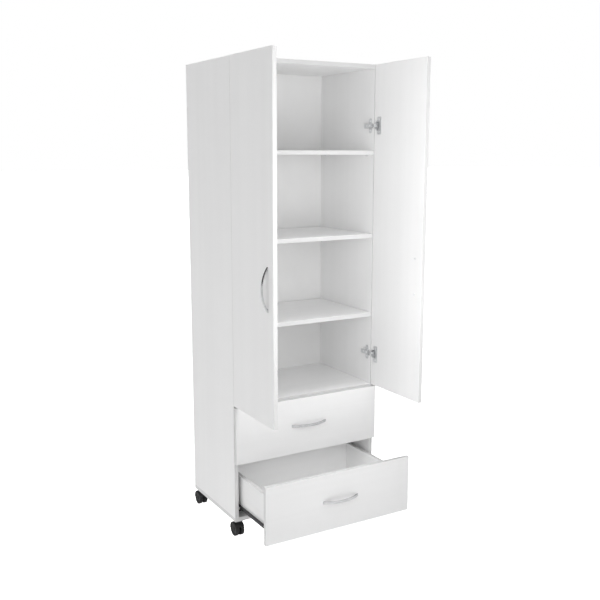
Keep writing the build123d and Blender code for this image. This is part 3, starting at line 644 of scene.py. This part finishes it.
def hood_web(mesh, centre):
    """The plate between the wheels, with a cut-away nose, and the round hub at the axle."""
    turn = HOOD_FRONT_ANGLE - HOOD_REAR_ANGLE
    angles = [math.radians(HOOD_REAR_ANGLE + turn * step / 32) for step in range(33)]
    reach = HOOD_INNER + 0.4 * MM
    outline = [(reach * math.cos(a), reach * math.sin(a)) for a in angles]
    outline += [WEB_NOSE, (WEB_NOSE[0], WEB_BOTTOM), (reach, WEB_BOTTOM)]
    sides = [ring(mesh, [centre + Vector((x, y, z)) for y, z in outline]) for x in (-WEB_HALF, WEB_HALF)]
    bridge(mesh, sides)
    faces = [mesh.faces.new(side) for side in sides]
    rims = list({edge for face in faces for edge in face.edges})
    bmesh.ops.bevel(mesh, geom=rims, offset=0.4 * MM, segments=2, affect="EDGES", clamp_overlap=True)
    width, crown = 2 * WEB_HALF, HUB_RADIUS - HUB_BEVEL
    hub = [(0, 0.0), (crown, 0.0), (HUB_RADIUS, HUB_BEVEL), (HUB_RADIUS, width - HUB_BEVEL), (crown, width)]
    lathe(mesh, hub + [(0, width)], along(centre - Vector((WEB_HALF, 0, 0)), (1, 0, 0)), 40)


def hood_boss(mesh, swivel, centre, top):
    """The swivel's round boss. Its lower rim follows the hood's curve."""
    bore = 2.4 * MM
    height = top - centre.z
    profile = [(bore, 0.0), (SWIVEL_BOSS_RADIUS, 0.0), (SWIVEL_BOSS_RADIUS, height - 0.6 * MM)]
    profile += [(SWIVEL_BOSS_RADIUS - 0.6 * MM, height), (bore + 0.5 * MM, height), (bore, height - 0.4 * MM)]
    rings = closed_lathe(mesh, profile, Matrix.Translation(Vector((swivel.x, swivel.y, centre.z))), 40)
    seat = HOOD_INNER + 0.8 * MM
    for vertex in rings[0] + rings[1]:
        reach = vertex.co.y - centre.y
        vertex.co.z = centre.z + math.sqrt(seat * seat - reach * reach)


def caster_hood(caster):
    node = f"{caster}_hood"
    low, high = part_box(node)
    left, right = (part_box(f"{caster}_{side}_wheel") for side in ("left", "right"))
    centre = (left[0] + right[1]) / 2
    swivel = centre - Vector((0, HOOD_TRAIL, 0))
    half_width = (high.x - low.x) / 2
    mesh = bmesh.new()
    hood_band(mesh, centre, half_width)
    hood_web(mesh, centre)
    hood_boss(mesh, swivel, centre, high.z)
    reach = half_width - 0.8 * MM
    length, tip = 2 * reach, AXLE_RADIUS - AXLE_BEVEL
    axle = [(0, 0.0), (tip, 0.0), (AXLE_RADIUS, AXLE_BEVEL), (AXLE_RADIUS, length - AXLE_BEVEL)]
    axle += [(tip, length), (0, length)]
    lathe(mesh, axle, along(centre - Vector((reach, 0, 0)), (1, 0, 0)), 32)
    return piece(f"{node}_shaped", mesh, node, 40.0)


# ---- the object ----

for node, thing in NODES.items():
    thing.material_slots[0].material = material_for(node)

for node in NODES:
    if node.endswith("handle"):
        bow_handle(node)
    elif node.endswith("rollers"):
        fixings(node, add_roller)
    elif node.endswith("screws"):
        fixings(node, add_screw)
fixings("back_panel_nails", add_nail)
fixings("shelf_pins", add_pin)
for caster in (f"{end}_{side}_caster" for end in ("front", "rear") for side in ("left", "right")):
    caster_hood(caster)
    caster_wheel(f"{caster}_left_wheel", -1)
    caster_wheel(f"{caster}_right_wheel", 1)


# ---- studio ----

def camera():
    data = bpy.data.cameras.new("camera")
    data.lens = LENS
    data.sensor_width = SENSOR
    made = bpy.data.objects.new("camera", data)
    bpy.context.scene.collection.objects.link(made)
    flat = math.cos(CAMERA_PITCH)
    forward = Vector((math.sin(CAMERA_YAW) * flat, math.cos(CAMERA_YAW) * flat, math.sin(CAMERA_PITCH)))
    aim = forward.to_track_quat("-Z", "Y").to_matrix().to_4x4()
    made.matrix_world = Matrix.Translation(CAMERA_PLACE) @ aim @ Matrix.Rotation(CAMERA_ROLL, 4, "Z")
    bpy.context.scene.camera = made


def area_light(name, place, target, width, height, power):
    data = bpy.data.lights.new(name, "AREA")
    data.shape = "RECTANGLE"
    data.size = width
    data.size_y = height
    data.energy = power
    made = bpy.data.objects.new(name, data)
    bpy.context.scene.collection.objects.link(made)
    aim = (Vector(target) - Vector(place)).to_track_quat("-Z", "Y").to_matrix().to_4x4()
    made.matrix_world = Matrix.Translation(place) @ aim
    made.visible_camera = False
    made.visible_glossy = False


def floor():
    """A wide matt floor that glows softly. To the camera it runs into the white backdrop."""
    mesh = bmesh.new()
    bmesh.ops.create_grid(mesh, x_segments=8, y_segments=8, size=FLOOR_HALF_SIZE)
    data = bpy.data.meshes.new("floor")
    mesh.to_mesh(data)
    mesh.free()
    made = bpy.data.objects.new("floor", data)
    bpy.context.scene.collection.objects.link(made)
    n = Nodes("floor_paper")
    tone = n.mix(n.ramp(n.noise(2.0), 0.3, 0.7), (0.90, 0.90, 0.90), (0.92, 0.92, 0.92))
    seen = n.add("ShaderNodeLightPath", "Is Camera Ray")
    n.shader.inputs["Emission Color"].default_value = (1.0, 1.0, 1.0, 1.0)
    n.link(n.ramp(seen, 0.0, 1.0, FLOOR_GLOW, FLOOR_GLOW_SEEN), n.shader.inputs["Emission Strength"])
    data.materials.append(n.finish(tone, 0.9, Specular_IOR_Level=0.0))


def light_of(tree, parts):
    """The sum of the parts' ramps over the direction of the light."""
    place = tree.nodes.new("ShaderNodeTexCoord")
    split = tree.nodes.new("ShaderNodeSeparateXYZ")
    tree.links.new(place.outputs["Generated"], split.inputs[0])
    total = None
    for axis, limits, strengths in parts.values():
        ramp = tree.nodes.new("ShaderNodeMapRange")
        ramp.interpolation_type = "SMOOTHSTEP"
        tree.links.new(split.outputs[axis], ramp.inputs["Value"])
        for name, number in zip(("From Min", "From Max", "To Min", "To Max"), limits + strengths):
            ramp.inputs[name].default_value = number
        if total is None:
            total = ramp.outputs["Result"]
            continue
        added = tree.nodes.new("ShaderNodeMath")
        tree.links.new(total, added.inputs[0])
        tree.links.new(ramp.outputs["Result"], added.inputs[1])
        total = added.outputs[0]
    return total


def world():
    """A white backdrop to the camera. The wardrobe is lit by a soft dome, bright in front."""
    made = bpy.data.worlds.new("studio")
    made.use_nodes = True
    tree = made.node_tree
    shown = tree.nodes["Background"]
    shown.inputs["Color"].default_value = (1.0, 1.0, 1.0, 1.0)
    dome = tree.nodes.new("ShaderNodeBackground")
    path = tree.nodes.new("ShaderNodeLightPath")
    chosen = tree.nodes.new("ShaderNodeMix")
    tree.links.new(path.outputs["Is Glossy Ray"], chosen.inputs["Factor"])
    tree.links.new(light_of(tree, DOME), chosen.inputs["A"])
    tree.links.new(light_of(tree, REFLECTED), chosen.inputs["B"])
    tree.links.new(chosen.outputs["Result"], dome.inputs["Strength"])
    mixed = tree.nodes.new("ShaderNodeMixShader")
    tree.links.new(path.outputs["Is Camera Ray"], mixed.inputs[0])
    tree.links.new(dome.outputs[0], mixed.inputs[1])
    tree.links.new(shown.outputs[0], mixed.inputs[2])
    tree.links.new(mixed.outputs[0], tree.nodes["World Output"].inputs["Surface"])
    bpy.context.scene.world = made


camera()
floor()
world()
for title, lamp in AREA_LIGHTS.items():
    area_light(title, *lamp)
bpy.context.scene.view_settings.view_transform = "Standard"
